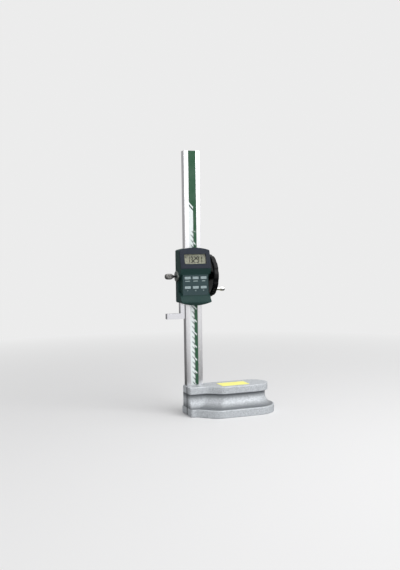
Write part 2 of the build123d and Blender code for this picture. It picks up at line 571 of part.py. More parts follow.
# ---------------------------------------------------------------- measuring arm
def measuring_arm():
    left = ARM_RIGHT - ARM_WIDTH
    outline = [(ARM_RIGHT, ARM_UNDER), (ARM_TIP, ARM_UNDER), (ARM_TIP, ARM_UNDER + ARM_BAR),
               (left, ARM_UNDER + ARM_BAR), (left, FRAME_LOW - 2.0), (-FRAME_HALF, FRAME_LOW - 1.0),
               (-FRAME_HALF, TONGUE_TOP - 0.1), (TONGUE_RIGHT, TONGUE_TOP - 0.1),
               (TONGUE_RIGHT, FRAME_LOW - 0.1), (ARM_RIGHT, FRAME_LOW - 0.1)]
    face = Plane.XZ * make_face(Polyline(*outline, close=True))
    arm = Pos(0, ARM_FRONT + ARM_DEPTH, 0) * extrude(face, ARM_DEPTH)
    tip_edges = arm.edges().filter_by(Axis.Z).group_by(Axis.X)[0]
    arm = chamfer(tip_edges, 0.6)
    for z in ARM_SCREW_Z:
        arm -= rod(SMALL_SCREW / 2 + SHAFT_FIT, -FRAME_HALF - 1, TONGUE_RIGHT + 1, "X", (ARM_MIDDLE, z))
        arm -= rod(ARM_HEAD / 2 + 0.2, -FRAME_HALF - 1, HEAD_SEAT, "X", (ARM_MIDDLE, z))
    return arm


def arm_screws():
    screws = []
    for z in ARM_SCREW_Z:
        start = -FRAME_HALF + 0.2
        head = rod(ARM_HEAD / 2, start, HEAD_SEAT, "X", (ARM_MIDDLE, z))
        head -= Pos(start, ARM_MIDDLE, z) * Rot(0, -90, 0) * hex_socket(ARM_HEAD * 0.4, 1.2)
        screws.append(head + rod(SMALL_SCREW / 2, HEAD_SEAT, SLOT_LEFT - 0.2, "X", (ARM_MIDDLE, z)))
    return screws


# ---------------------------------------------------------------- clamp
def clamp_boss():
    """Turned ring that the clamp screw passes through."""
    start, end = -HOUSING_HALF - CLAMP_BOSS_PROUD, -HOUSING_HALF
    ring = rod(CLAMP_BOSS / 2, start, end, "X", (0, CLAMP_Z))
    ring = chamfer(ring.edges().group_by(Axis.X)[0], 1.0)
    return ring - rod(CLAMP_STUD / 2 + FIT, start - 1, end + 1, "X", (0, CLAMP_Z))


def clamp_pad():
    return rod(PAD_WIDTH / 2, PAD_BACK, PAD_BACK + PAD_THICK, "X", (0, CLAMP_Z))


def clamp_stud():
    start = CLAMP_KNOB_X + CLAMP_KNOB_LENGTH
    neck = rod(CLAMP_STUD / 2, start, PAD_BACK, "X", (0, CLAMP_Z))
    return neck + rod(3.2, start, start + 1.6, "X", (0, CLAMP_Z))


def clamp_knob():
    """Grip with straight knurls and chamfered ends."""
    radius, length = CLAMP_KNOB / 2, CLAMP_KNOB_LENGTH
    ridges = [((radius - KNURL_DEPTH * (tip % 2)), math.pi * tip / KNURLS) for tip in range(2 * KNURLS)]
    points = [(r * math.cos(turn), r * math.sin(turn)) for r, turn in ridges]
    star = extrude(make_face(Polyline(*points, close=True)), length)
    profile = [(0, 0), (radius - 2.0, 0), (radius, 2.0), (radius, length - 1.2),
               (radius - 1.2, length), (0, length)]
    turned = revolve(Plane.XZ * make_face(Polyline(*profile, close=True)), Axis.Z, 360)
    return Pos(CLAMP_KNOB_X, 0, CLAMP_Z) * Rot(0, 90, 0) * (star & turned)


# ---------------------------------------------------------------- pinion and hand wheel
def involute(base, radius):
    """Polar angle swept by an involute of the base circle out to a radius."""
    ratio = math.sqrt(max((radius / base) ** 2 - 1, 0))
    return ratio - math.atan(ratio)


def pinion_shape():
    base = PITCH_RADIUS * math.cos(PRESSURE_ANGLE)
    tip = PITCH_RADIUS + TOOTH_HEIGHT * MODULE
    root = PITCH_RADIUS - TOOTH_DEPTH * MODULE
    half = (MODULE * math.pi / 2 - BACKLASH / 2) / 2 / PITCH_RADIUS
    at_pitch = involute(base, PITCH_RADIUS)
    points = []
    for number in range(PINION_TEETH):
        centre = math.pi + 2 * math.pi * number / PINION_TEETH     # one tooth faces the rack
        flank = [(root, half + at_pitch)]
        for step in range(4):
            radius = base + (tip - base) * step / 3
            flank.append((radius, half + at_pitch - involute(base, radius)))
        for radius, angle in flank:
            points.append((radius, centre - angle))
        for radius, angle in reversed(flank):
            points.append((radius, centre + angle))
    return make_face(Polyline(*[(r * math.cos(a), r * math.sin(a)) for r, a in points], close=True))


def along_shaft():
    """Plane across the shaft: its Z runs along +X and its X along +Y."""
    return Plane(origin=(0, PINION_Y, WHEEL_Z), x_dir=(0, 1, 0), z_dir=(1, 0, 0))


def pinion_shaft():
    at = (PINION_Y, WHEEL_Z)
    shaft = rod(SHAFT / 2, -BUSH_END, HUB_END - 2, "X", at)
    collar = rod(SHAFT / 2 + 1.5, FRAME_HALF + FIT, HUB_START, "X", at)
    teeth = extrude(pinion_shape(), RACK_WIDTH / 2 - 0.4, both=True)
    return shaft + collar + along_shaft() * teeth


def handwheel():
    rim_in = WHEEL_RADIUS - RIM_DEPTH
    back = WHEEL_FACE - RIM_WIDTH
    web_back = back + (RIM_WIDTH - WEB) / 2
    hub = HUB_RADIUS
    outline = [(SHAFT / 2, HUB_START), (hub - 1, HUB_START), (hub + 1, web_back - 1),
               (hub + 3, web_back), (rim_in - 2, web_back), (rim_in, web_back - 2),
               (rim_in, back + 1), (rim_in + 1, back), (WHEEL_RADIUS - 1.5, back),
               (WHEEL_RADIUS, back + 1.5), (WHEEL_RADIUS, WHEEL_FACE - 1.5),
               (WHEEL_RADIUS - 1.5, WHEEL_FACE), (rim_in + 1, WHEEL_FACE), (rim_in, WHEEL_FACE - 1),
               (rim_in, web_back + WEB + 2), (rim_in - 2, web_back + WEB), (hub + 3, web_back + WEB),
               (hub, web_back + WEB + 1.5), (hub - 1, HUB_END), (SHAFT / 2, HUB_END)]
    half = make_face(Polyline(*[(r, 0, x) for r, x in outline], close=True))
    wheel = revolve(half, Axis.Z, 360)
    finger = Cylinder(SCALLOP_RADIUS, RIM_WIDTH * 3)
    centre = WHEEL_RADIUS - SCALLOP_DEPTH + SCALLOP_RADIUS
    for number in range(SCALLOPS):
        turn = Rot(0, 0, 360 * (number + 0.5) / SCALLOPS)
        wheel -= turn * Pos(centre, 0, WHEEL_FACE) * finger
    wheel = along_shaft() * wheel
    y, z = crank_place()
    return wheel - rod(CRANK_PIN / 2, WHEEL_FACE - PIN_DEEP, WHEEL_FACE + 1, "X", (y, z))


def wheel_screw():
    """Screw and washer face that hold the wheel on its shaft."""
    at = (PINION_Y, WHEEL_Z)
    top = HUB_END + WHEEL_SCREW_HIGH
    head = rod(WHEEL_SCREW / 2, HUB_END, top, "X", at)
    head = chamfer(head.edges().group_by(Axis.X)[-1], 0.8)
    return head - block(top - 1.2, top + 1, PINION_Y - WHEEL_SCREW, PINION_Y + WHEEL_SCREW,
                        WHEEL_Z - 0.6, WHEEL_Z + 0.6)


def crank_place():
    angle = math.radians(CRANK_ANGLE)
    return (PINION_Y + CRANK_RADIUS * math.cos(angle), WHEEL_Z + CRANK_RADIUS * math.sin(angle))


def crank_pin():
    at = crank_place()
    end = WHEEL_FACE + CRANK_LENGTH
    pin = rod(CRANK_PIN / 2, WHEEL_FACE - PIN_DEEP, end, "X", at)
    head = rod(PIN_HEAD / 2, end - PIN_HEAD_HIGH, end, "X", at)
    return pin + chamfer(head.edges().group_by(Axis.X)[-1], 0.5)


def crank_knob():
    """Turned knob, slim by the wheel and full at its outer end."""
    bore = CRANK_PIN / 2 + SHAFT_FIT
    full = CRANK_KNOB / 2
    start, end = FIT, CRANK_LENGTH - 0.4
    outline = [(bore, start), (full * 0.68, start), (full * 0.74, start + 1.0),
               (full * 0.62, start + 3.5), (full * 0.7, start + 6.5), (full * 0.95, start + 10.5),
               (full, start + 13.5), (full * 0.93, end - 1.5), (full * 0.78, end),
               (CRANK_PIN / 2 + 1.5, end), (CRANK_PIN / 2 + 1.5, end - 1.3), (bore, end - 1.3)]
    y, z = crank_place()
    half = make_face(Polyline(*[(r, 0, x) for r, x in outline], close=True))
    return Plane(origin=(WHEEL_FACE, y, z), x_dir=(0, 1, 0), z_dir=(1, 0, 0)) * revolve(half, Axis.Z, 360)


# ---------------------------------------------------------------- all pieces
def all_pieces():
    blank = housing_blank()
    pieces = {
        "base_casting": base_casting(),
        "column_clamp_block": column_clamp_block(),
        "clamp_block_screws": block_screws(),
        "column_beam": column_beam(),
        "rack": rack(),
        "scale_strip": scale_strip(),
        "base_label": base_label(),
        "slider_frame": slider_frame(),
        "gib_strip": gib_strip(),
        "gib_screws": grub_screws(),
        "shaft_bushes": shaft_bushes(),
        "front_housing": front_housing(blank),
        "rear_cover": rear_cover(),
        "housing_screws": through_screws(),
        "display_bezel": display_bezel(blank),
        "display_window": display_window(),
        "lcd_panel": lcd_panel(),
        "keypad_panel": keypad_panel(),
        "circuit_board": circuit_board(),
        "sensor_board": sensor_board(),
        "battery": battery(),
        "battery_cap": battery_cap(),
        "measuring_arm": measuring_arm(),
        "arm_screws": arm_screws(),
        "clamp_boss": clamp_boss(),
        "clamp_pad": clamp_pad(),
        "clamp_stud": clamp_stud(),
        "clamp_knob": clamp_knob(),
        "pinion_shaft": pinion_shaft(),
        "handwheel": handwheel(),
        "wheel_screw": wheel_screw(),
        "crank_pin": crank_pin(),
        "crank_knob": crank_knob(),
    }
    for number, (x, z) in enumerate(key_places(), 1):
        pieces[f"key_{number}"] = key(x, z)
    return pieces


def main():
    os.makedirs("parts", exist_ok=True)
    for name, shape in all_pieces().items():
        solids = shape if isinstance(shape, list) else [shape]
        export_step(Compound(children=[s for piece in solids for s in piece.solids()]),
                    f"parts/{name}.step")


if __name__ == "__main__":
    main()
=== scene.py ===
# %% [markdown]
# A digital height gauge, dressed for its portrait.
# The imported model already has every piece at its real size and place. This file gives the
# pieces their finishes, rounds the edges that catch the light, and adds what is too fine for
# the construction model: printed marks, digits, knurls and screw sockets.
# The scene is in metres, with +Z up and the display facing -Y. Sizes of the gauge are written
# in millimetres, as on a drawing, and MM turns them into metres.

# %% Load the frame
import json
import math
import bmesh
import bpy
from mathutils import Matrix, Vector

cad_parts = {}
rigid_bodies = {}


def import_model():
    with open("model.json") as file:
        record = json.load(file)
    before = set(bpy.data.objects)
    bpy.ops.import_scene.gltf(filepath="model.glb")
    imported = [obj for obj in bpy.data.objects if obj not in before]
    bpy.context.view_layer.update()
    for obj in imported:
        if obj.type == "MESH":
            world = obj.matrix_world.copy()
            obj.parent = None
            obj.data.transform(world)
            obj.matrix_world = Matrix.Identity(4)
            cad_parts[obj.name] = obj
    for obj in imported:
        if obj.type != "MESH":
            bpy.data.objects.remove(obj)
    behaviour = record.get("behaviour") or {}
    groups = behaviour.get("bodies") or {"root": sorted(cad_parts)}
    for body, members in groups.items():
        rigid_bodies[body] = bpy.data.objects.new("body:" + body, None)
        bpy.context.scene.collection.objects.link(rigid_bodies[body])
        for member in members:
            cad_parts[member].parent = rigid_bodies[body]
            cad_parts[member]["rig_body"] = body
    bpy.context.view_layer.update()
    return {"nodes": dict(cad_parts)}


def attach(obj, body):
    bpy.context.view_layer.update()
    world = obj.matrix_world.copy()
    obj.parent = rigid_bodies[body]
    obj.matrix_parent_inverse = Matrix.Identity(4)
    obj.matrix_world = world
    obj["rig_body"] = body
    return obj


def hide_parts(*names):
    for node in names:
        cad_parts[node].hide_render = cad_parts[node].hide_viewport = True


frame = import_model()
MM = 0.001
print("pieces in the frame:", len(frame["nodes"]))

# %% [markdown]
# Finishes are node trees, and node trees are sums. A small class that wraps a socket lets
# Python write those sums: each operator adds one Math node. A second class holds one
# material, with its coordinates and its shader, so that a finish reads as a short recipe.

# %% Sums on sockets
class Value:
    """A socket that takes part in Python sums."""

    def __init__(self, finish, socket):
        self.finish, self.socket = finish, socket

    def math(self, operation, *others):
        """One Math node on this socket and up to two others."""
        settings = {"operation": operation}
        return self.finish.node("ShaderNodeMath", settings, dict(enumerate((self, *others))))

    def __add__(self, other):
        return self.math("ADD", other)

    def __sub__(self, other):
        return self.math("SUBTRACT", other)

    def __rsub__(self, other):
        settings = {"operation": "SUBTRACT"}
        return self.finish.node("ShaderNodeMath", settings, {0: other, 1: self})

    def __mul__(self, other):
        return self.math("MULTIPLY", other)

    def __truediv__(self, other):
        return self.math("DIVIDE", other)

    def __lt__(self, other):
        return self.math("LESS_THAN", other)

    def __gt__(self, other):
        return self.math("GREATER_THAN", other)

    def __abs__(self):
        return self.math("ABSOLUTE")

    __radd__, __rmul__ = __add__, __mul__


class Finish:
    """One material: its recipe is a few calls on this."""

    def __init__(self, name, colour, roughness, metallic=0.0, **sockets):
        self.material = bpy.data.materials.new(name)
        self.material.use_nodes = True
        self.tree = self.material.node_tree
        self.shader = self.tree.nodes["Principled BSDF"]
        self.set("Base Color", (*colour, 1.0))
        self.set("Roughness", roughness)
        self.set("Metallic", metallic)
        for socket, value in sockets.items():
            self.set(socket.replace("_", " "), value)

    def set(self, socket, value):
        """Give a shader socket a number, a colour or a link."""
        target = self.shader.inputs[socket]
        if isinstance(value, Value):
            self.tree.links.new(value.socket, target)
        else:
            target.default_value = value

    def node(self, kind, settings=None, sockets=None, out=0):
        """Add a node; settings come first, then the values or links of its sockets."""
        made = self.tree.nodes.new(kind)
        for name, value in (settings or {}).items():
            if name == "stops":
                ramp = made.color_ramp
                while len(ramp.elements) < len(value):
                    ramp.elements.new(0.5)
                for element, (place, colour) in zip(ramp.elements, value):
                    element.position, element.color = place, (*colour, 1.0)
            else:
                setattr(made, name, value)
        for key, value in (sockets or {}).items():
            if isinstance(value, Value):
                self.tree.links.new(value.socket, made.inputs[key])
            else:
                made.inputs[key].default_value = value
        return Value(self, made.outputs[out])

    def place(self, scale=(1, 1, 1)):
        """Object coordinates, stretched so that a pattern has the right grain."""
        coordinates = self.node("ShaderNodeTexCoord", out="Object")
        return self.node("ShaderNodeMapping", sockets={"Vector": coordinates, "Scale": scale})

    def axes(self):
        """X, Y and Z in millimetres."""
        parts = self.node("ShaderNodeSeparateXYZ", sockets={0: self.place()})
        outs = parts.socket.node.outputs
        return [Value(self, out) * 1000.0 for out in outs]

    def noise(self, grain, stretch=(1, 1, 1), detail=2.0, rough=0.5):
        """Noise from 0 to 1 whose spots are about grain millimetres across."""
        sockets = {"Vector": self.place(stretch), "Scale": 1000.0 / grain, "Detail": detail,
                   "Roughness": rough}
        return self.node("ShaderNodeTexNoise", sockets=sockets)

    def pools(self, grain, wander=0.8):
        """Soft round cells: 0 in the middle of each, near 1 where they meet."""
        sockets = {"Vector": self.place(), "Scale": 800.0 / grain}
        cloud = self.node("ShaderNodeTexNoise", sockets=sockets, out=1)
        sockets = {0: cloud, 1: (wander * grain * MM,) * 3, 2: self.place()}
        shaken = self.node("ShaderNodeVectorMath", {"operation": "MULTIPLY_ADD"}, sockets)
        sockets = {"Vector": shaken, "Scale": 1000.0 / grain, "Smoothness": 0.35}
        return self.node("ShaderNodeTexVoronoi", {"feature": "SMOOTH_F1"}, sockets)

    def blend(self, factor, first, second):
        """Mix two colours, or links to colours."""
        sockets = {}
        for key, colour in ((6, first), (7, second)):
            sockets[key] = colour if isinstance(colour, Value) else (*colour, 1.0)
        return self.node("ShaderNodeMix", {"data_type": "RGBA"}, {0: factor, **sockets}, out=2)

    def range(self, value, low, high, new_low, new_high):
        """Stretch a value from one range to another, held at the ends."""
        sockets = {0: value, 1: low, 2: high, 3: new_low, 4: new_high}
        return self.node("ShaderNodeMapRange", sockets=sockets)

    def bump(self, height, depth, strength=1.0):
        """Raise the surface by height times depth millimetres."""
        sockets = {"Height": height, "Distance": depth * MM, "Strength": strength}
        self.set("Normal", self.node("ShaderNodeBump", sockets=sockets))


# %% [markdown]
# Two kinds of metal carry the gauge. Ground bars, such as the column, have fine lines along
# their length from the grinding wheel. Turned pieces have rings. The Anisotropic input could
# smear the highlight in the same way, but it gives no lines to see up close. So both are
# plain metal whose roughness and height follow a noise that is stretched one way.

# %% Metals
LINE_GRAIN, LINE_DEPTH, CLOUD_GRAIN = 0.35, 0.004, 40.0     # millimetres


def ground_metal(name, colour, stretch, roughness):
    """Bare metal with grinding lines; stretch is small along the lines."""
    finish = Finish(name, colour, 0.3, metallic=1.0)
    lines = finish.noise(LINE_GRAIN, stretch, detail=4.0)
    cloud = finish.noise(CLOUD_GRAIN, (1, 1, 0.5))
    finish.set("Roughness", finish.range(lines * 0.7 + cloud * 0.3, 0.3, 0.7, *roughness))
    shade = [c * 0.86 for c in colour]
    finish.set("Base Color", finish.blend(cloud, shade, colour))
    finish.bump(lines, LINE_DEPTH, 0.6)
    return finish


column_steel = ground_metal("ground column steel", (0.86, 0.86, 0.88), (1, 1, 0.01), (0.22, 0.35))
arm_steel = ground_metal("lapped arm steel", (0.88, 0.88, 0.92), (0.02, 1, 1), (0.14, 0.26))
frame_steel = ground_metal("milled frame steel", (0.42, 0.42, 0.43), (1, 0.05, 0.05), (0.3, 0.5))
rack_steel = ground_metal("rack steel", (0.36, 0.36, 0.37), (0.02, 1, 1), (0.3, 0.45))
turned_steel = ground_metal("bright turned steel", (0.85, 0.85, 0.84), (1, 0.02, 0.02), (0.1, 0.2))
knob_steel = ground_metal("dark knurled steel", (0.24, 0.236, 0.23), (1, 0.3, 0.3), (0.42, 0.56))
boss_steel = ground_metal("oiled boss steel", (0.25, 0.275, 0.255), (1, 0.3, 0.3), (0.35, 0.5))
black_steel = ground_metal("blackened steel", (0.035, 0.035, 0.037), (1, 1, 1), (0.35, 0.5))
zinc_steel = ground_metal("zinc plate", (0.62, 0.63, 0.64), (1, 1, 1), (0.25, 0.4))
bronze = ground_metal("oiled bronze", (0.52, 0.34, 0.16), (0.1, 1, 1), (0.3, 0.45))
brass = ground_metal("turned brass", (0.72, 0.55, 0.26), (0.1, 1, 1), (0.25, 0.4))

# %% [markdown]
# The base is cast iron under a silver hammer paint. Such paint shrinks into small shiny pools
# with slightly darker seams, and flakes of aluminium lie in every pool. A Voronoi texture
# makes the pools: its smooth form has no hard cell walls, and a noise that pushes its
# coordinates about keeps the cells from looking like tiles. Painted shade darkens the bottom
# of the cove and the face under the top flange. The slit beside the column, and the end face
# around it, are painted dark as shade. Masks on the piece's own axes place these marks.

# %% Hammer paint
POOL_GRAIN, PAINT_DEPTH = 2.0, 0.12
FOOT_TOP, FLANGE_LOW = 15.2, 43.0          # the cove lies between these heights
SLIT_Y, SLIT_HALF, SLIT_ENDS = -13.9, 1.14, (-19.3, -16.7)
# Two colours of painted shade: the first for the cove and under the top flange, the second for the
# slit.
PAINTED_SHADE, SLIT_SHADE = (0.10, 0.11, 0.12), (0.03, 0.03, 0.03)


def hammer_paint():
    finish = Finish("silver hammer paint", (0.53, 0.54, 0.54), 0.4, metallic=0.16,
                    Specular_IOR_Level=0.3)
    pool = finish.pools(POOL_GRAIN)
    flakes = finish.noise(1.6, detail=4.0, rough=0.7)
    tone = finish.range(pool, 0.15, 0.75, 0.68, 0.30) * 0.5 + flakes * 0.5
    stops = [(0.3, (0.41, 0.435, 0.46)), (0.5, (0.61, 0.64, 0.67)), (0.7, (0.82, 0.86, 0.90))]
    paint = finish.node("ShaderNodeValToRGB", {"stops": stops}, {0: tone})
    x, y, z = finish.axes()
    # Painted shade: darker low in the cove (ledge), under the top flange (brow) and on the end
    # face beside the slit (halo).
    from_slit = abs(y - SLIT_Y)
    ledge = (z > FOOT_TOP) * finish.range(z, FOOT_TOP + 0.6, FOOT_TOP + 10.8, 0.8, 0.0)
    brow = (z < FLANGE_LOW) * finish.range(z, FLANGE_LOW - 11.0, FLANGE_LOW - 1.0, 0.0, 1.0)
    halo = finish.range(from_slit, 1.1, 3.4, 0.85, 0.0) * (x < -18.5)
    paint = finish.blend((ledge + brow + halo).math("MINIMUM", 0.9), paint, PAINTED_SHADE)
    # The inside of the slit is painted near black, as painted shade in the gap.
    slit = (from_slit < SLIT_HALF) * (x > SLIT_ENDS[0]) * (x < SLIT_ENDS[1])
    finish.set("Base Color", finish.blend(slit, paint, SLIT_SHADE))
    finish.set("Roughness", finish.range(pool, 0.2, 0.8, 0.32, 0.46))
    finish.bump((1.0 - pool) * 0.8 + flakes * 0.2, PAINT_DEPTH, 0.5)
    return finish


cast_paint = hammer_paint()

# %% [markdown]
# The slider's shell is moulded plastic. The mould was spark-eroded, which leaves a fine even
# grain, and fingers have polished it a little. The bezel is a second, smoother moulding, and
# the wheel is glossier still. A fine bump gives the grain, and a broad noise shifts colour and
# roughness, so that no large face is perfectly even. One recipe with a few numbers serves
# every plastic and every print, so a change to the recipe reaches them all.

# %% Plastics
def moulded(name, colour, roughness, grain=0.35, depth=0.02, gloss=0.3):
    """Moulded plastic with a spark-eroded grain."""
    finish = Finish(name, colour, roughness, Specular_IOR_Level=gloss)
    fine = finish.noise(grain, detail=2.0)
    rubbed = finish.noise(18.0)
    low, high = roughness - 0.06, roughness + 0.08
    finish.set("Roughness", finish.range(rubbed * 0.7 + fine * 0.3, 0.3, 0.7, low, high))
    deep = [c * 0.88 for c in colour]
    finish.set("Base Color", finish.blend(rubbed, deep, colour))
    finish.bump(fine, depth, 0.5)
    return finish


green_plastic = moulded("green shell", (0.016, 0.049, 0.045), 0.55, gloss=0.22)
bezel_plastic = moulded("blue-black bezel", (0.012, 0.018, 0.031), 0.5, depth=0.008, gloss=0.2)
cap_plastic = moulded("black cap", (0.02, 0.022, 0.022), 0.45)
wheel_plastic = moulded("black wheel", (0.004, 0.004, 0.005), 0.24, depth=0.01, gloss=0.16)
key_plastic = moulded("grey keys", (0.33, 0.415, 0.43), 0.5, depth=0.01)
board_finish = moulded("circuit board", (0.02, 0.12, 0.05), 0.4)
film_finish = moulded("keypad film", (0.030, 0.060, 0.066), 0.46, grain=0.25, depth=0.006)
legend_finish = moulded("pale print", (0.40, 0.50, 0.50), 0.5, depth=0.002)
yellow_label = moulded("yellow label", (0.98, 0.94, 0.27), 0.5, grain=0.6, depth=0.004,
                       gloss=0.2)

# %% [markdown]
# A base colour alone can't be brighter than white paper, so the label is given a little
# emission: painted light that makes it glow brighter than its colour allows.

# %% Painted light on the label
# Painted light: the label glows, though it is no lamp.
yellow_label.set("Emission Color", (1.0, 0.95, 0.30, 1.0))
yellow_label.set("Emission Strength", 0.16)
print("finishes so far:", len(bpy.data.materials))

# %% [markdown]
# A liquid crystal display is a greenish mirror with dark segments, under a clear window. The
# panel is a little darker towards its edges. Every segment that is off still shows as a
# faint ghost on a real panel, which this one leaves out. The window is nearly invisible.
# Transmission would bend the light and need many bounces for the same look, and only the
# window's faint reflection counts, so it is a thin clear sheet with a low alpha.

# %% Display finishes
PANEL_HALF, PANEL_PALE, PANEL_EDGE = 22.0, (0.50, 0.51, 0.36), (0.40, 0.41, 0.30)


def display_panel():
    finish = Finish("display panel", PANEL_PALE, 0.45)
    x, _, _ = finish.axes()
    drift = finish.noise(9.0) * 0.1
    edge = finish.range(abs(x) / PANEL_HALF + drift, 0.75, 1.1, 0.0, 1.0)
    finish.set("Base Color", finish.blend(edge, PANEL_PALE, PANEL_EDGE))
    return finish


lcd_finish = display_panel()
segment_ink = Finish("dark segments", (0.016, 0.016, 0.010), 0.8, Specular_IOR_Level=0.1)
window_finish = Finish("clear window", (0.95, 0.96, 0.95), 0.05, Alpha=0.03)

# %% [markdown]
# The scale is a printed film let into the column. A wide green field at the top narrows
# with a slanted end to a green band on the right, and the rest is white. Slanted ticks
# mark the centimetres in the white field and the inches in the green band, and fine level
# lines mark the millimetres. A picture could carry this, but it would blur up close and
# would have to be drawn first. Here all of it is sums on X and Z, so the print stays sharp
# at any distance, and one number moves every mark. The zero is just above the base.

# %% The printed scale
ZERO, LAST_MARK, FIELD_END = 60.3, 300.0, 410.0    # the wide green field ends above the marks
BAND_LEFT, SLOPE = 1.0, 1.1          # left edge of the narrow band; slant of every mark
TICK_LEFT, FINE_LEFT, SLASH_RIGHT = -4.8, -1.2, 5.2
CENTIMETRE, INCH, SLASH_HALF = 10.0, 25.4, 1.5
END_LINE, END_LINE_HALF = FIELD_END - 6.0, 1.7
GREEN, WHITE, INK = (0.013, 0.082, 0.034), (0.84, 0.90, 0.90), (0.012, 0.045, 0.032)


def repeat_distance(value, pitch):
    """Distance from the nearest multiple of pitch."""
    return abs((value / pitch + 0.5).math("FRACT") - 0.5) * pitch


def printed_scale():
    finish = Finish("printed scale", WHITE, 0.42, Specular_IOR_Level=0.15)
    x, _, z = finish.axes()
    slant = z + x * SLOPE                        # constant along every slanted mark
    within = (z > ZERO - 1.0) * (z < ZERO + LAST_MARK + 1.0)
    taper = finish.range(x, TICK_LEFT, BAND_LEFT, 0.5, 1.3)
    centimetre = (repeat_distance(slant - ZERO + 0.9, CENTIMETRE) < taper) * (x > TICK_LEFT)
    inch = (repeat_distance(slant - ZERO - 1.0, INCH) < SLASH_HALF) * (x < SLASH_RIGHT)
    millimetre = (repeat_distance(z - ZERO, 1.0) < 0.09) * (x > FINE_LEFT) * within
    wide = slant > FIELD_END
    band = (x > BAND_LEFT) * (1.0 - inch * within)
    green = wide + band
    line = (abs(slant - END_LINE) < END_LINE_HALF) * (x < BAND_LEFT)
    ink = centimetre * within * (x < BAND_LEFT) + line + millimetre * (x < BAND_LEFT)
    base = finish.blend(green.math("MINIMUM", 1.0), WHITE, GREEN)
    tired = finish.noise(12.0) * 0.12
    base = finish.blend(tired, base, (0.45, 0.50, 0.48))
    finish.set("Base Color", finish.blend(ink.math("MINIMUM", 1.0), base, INK))
    finish.set("Roughness", finish.range(finish.noise(6.0), 0.3, 0.7, 0.36, 0.5))
    return finish


scale_print = printed_scale()

# %% [markdown]
# Many carried-over pieces have the right shape but hard edges and faceted curves, because a
# model for construction is loose triangles. A copy is merged first. Where its edges are
# crisp, its flat areas are made one face each, and a Bevel modifier rounds what is left, so
# every edge catches a line of light. The two castings have their rounds already. They keep
# their triangles, and a Weighted Normal modifier lets the large flat faces win, so the shade
# of a round doesn't creep over the flat beside it. The copy stands for the original, which
# stays for collision.

# %% Rounded copies
def add_piece(name, mesh, finish, body, nodes=()):
    """Link a finished mesh, give it its material, and tell the frame about it."""
    piece = bpy.data.objects.new(name, mesh)
    bpy.context.scene.collection.objects.link(piece)
    mesh.materials.clear()
    mesh.materials.append(finish.material)
    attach(piece, body)
    if nodes:
        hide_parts(*nodes)
    return piece


def soften(mesh, angle):
    """Shade smooth, with a sharp edge wherever faces meet at more than angle degrees."""
    mesh.polygons.foreach_set("use_smooth", [True] * len(mesh.polygons))
    mesh.set_sharp_from_angle(angle=math.radians(angle))
    mesh.update()


def to_mesh(shape, name, angle=40.0):
    """Turn a finished bmesh into a smooth-shaded mesh."""
    mesh = bpy.data.meshes.new(name)
    shape.to_mesh(mesh)
    shape.free()
    soften(mesh, angle)
    return mesh


SHARP, SAME_POINT = 35.0, 0.002      # degrees between faces; millimetres between points


def round_edges(piece, width):
    """Live bevel on sharp edges, with normals that keep flats flat."""
    bevel = piece.modifiers.new("rounded edges", "BEVEL")
    bevel.width, bevel.segments = width * MM, 3
    bevel.limit_method, bevel.angle_limit = "ANGLE", math.radians(SHARP)
    bevel.harden_normals = True
    bevel.use_clamp_overlap = True


def level_flats(piece):
    """Let large faces decide the shading where they meet small ones."""
    level = piece.modifiers.new("flat faces stay flat", "WEIGHTED_NORMAL")
    level.keep_sharp = True


def rounded_copy(node, finish, width):
    """A merged copy of a node with smooth curves and, with a width, rounded edges."""
    source = frame["nodes"][node]
    shape = bmesh.new()
    shape.from_mesh(source.data)
    bmesh.ops.remove_doubles(shape, verts=shape.verts, dist=SAME_POINT * MM)
    if width:
        bmesh.ops.dissolve_limit(shape, angle_limit=math.radians(0.5), verts=shape.verts,
                                 edges=shape.edges)
    name = node + "_finished"
    piece = add_piece(name, to_mesh(shape, name, SHARP), finish, source["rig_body"], [node])
    if width:
        round_edges(piece, width)
    else:
        level_flats(piece)


# %% The list of rounded copies
ROUNDED = [
    # node, finish, slot, edge round in millimetres
    ("base_casting", cast_paint, "cast_paint", 0.0),
    ("column_clamp_block", cast_paint, "cast_paint", 0.0),
    ("column_beam", column_steel, "column_steel", 0.15),
    ("front_housing", green_plastic, "green_plastic", 0.7),
    ("rear_cover", green_plastic, "green_plastic", 0.4),
    ("display_bezel", bezel_plastic, "dark_bezel", 0.5),
    ("measuring_arm", arm_steel, "arm_steel", 0.2),
    ("clamp_boss", boss_steel, "arm_steel", 0.15),
    ("battery_cap", cap_plastic, "dark_plastic", 0.1),
    ("slider_frame", frame_steel, "frame_steel", 0.2),
]
for node, finish, slot, width in ROUNDED:
    rounded_copy(node, finish, width)
print("rounded copies:", len(ROUNDED))

# %% [markdown]
# The blank yellow label is a thin plate with round corners on top of the base. It lies nearer
# the column than the construction model has it, so it is made anew from a cube: the four
# upright edges get a bevel, and nothing else is needed.

# %% The label
LABEL_X, LABEL_Y, LABEL_LENGTH, LABEL_WIDTH = 75.0, -23.5, 57.5, 33.0
LABEL_THICK, LABEL_CORNER, BASE_TOP = 0.3, 1.5, 57.0


def base_label():
    shape = bmesh.new()
    centre = Vector((LABEL_X, LABEL_Y, BASE_TOP + LABEL_THICK / 2)) * MM
    size = Matrix.Diagonal((LABEL_LENGTH * MM, LABEL_WIDTH * MM, LABEL_THICK * MM, 1))
    bmesh.ops.create_cube(shape, size=1.0, matrix=Matrix.Translation(centre) @ size)
    corners = [e for e in shape.edges if abs((e.verts[0].co - e.verts[1].co).z) > 0.1 * MM]
    bmesh.ops.bevel(shape, geom=corners, offset=LABEL_CORNER * MM, affect="EDGES", segments=5,
                    profile=0.5, material=-1)
    return add_piece("label", to_mesh(shape, "label"), yellow_label, "stand",
                     ["base_label"])


print("label faces:", len(base_label().data.polygons))

# %% [markdown]
# The wheel, the crank knob, its pin and the clamp knob are all turned, so each is half a
# section that is spun round its own axis. The Screw modifier does the same, but a spun bmesh
# is merged and closed at once, and its points can be moved afterwards. A section is written
# with sharp corners, and a second function swaps each corner for a small arc.

